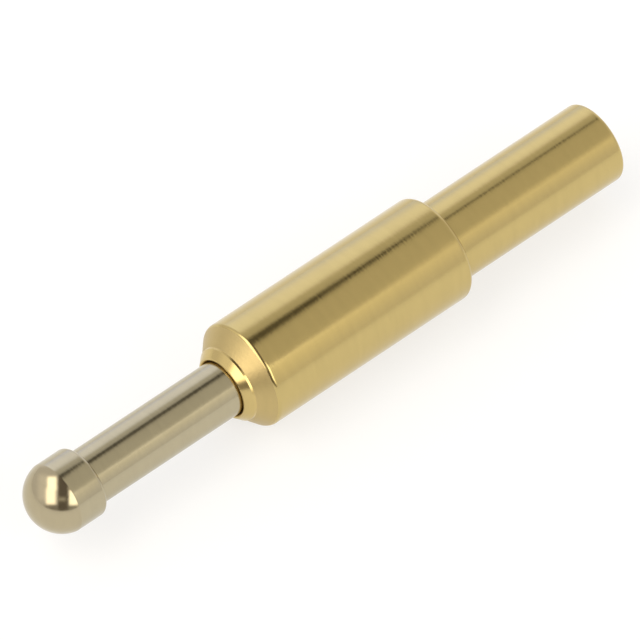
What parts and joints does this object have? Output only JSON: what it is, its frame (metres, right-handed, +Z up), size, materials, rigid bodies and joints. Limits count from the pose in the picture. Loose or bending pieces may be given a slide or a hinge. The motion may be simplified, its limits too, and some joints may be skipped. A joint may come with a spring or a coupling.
{
  "type": "pogo pin",
  "caption": "Spring-loaded contact pin: a domed plunger slides in a turned barrel against a coil spring, with a plain tail for soldering.",
  "frame": {"origin": "on the pin's axis, in the plane of the barrel's rear shoulder, where the tail begins", "axes": "+X along the axis from the contact tip to the tail's end; +Z up when the pin lies on its barrel"},
  "size_m": [0.0129, 0.002, 0.002],
  "materials": {
    "gold_plate": "fine-turned satin, gold plated",
    "pale_plate": "fine-turned satin, pale plated",
    "spring_steel": "drawn wire"
  },
  "bodies": {
    "barrel": {"barrel": "gold_plate", "spring": "spring_steel"},
    "plunger": {"plunger": "pale_plate"}
  },
  "joints": [
    {"name": "plunger_slide", "type": "slide", "parent": "barrel", "child": "plunger", "axis": [1, 0, 0], "range_m": [0, 0.002], "stiffness_N_per_m": 430, "springref_m": -0.0011, "deforming": ["spring"]}
  ]
}
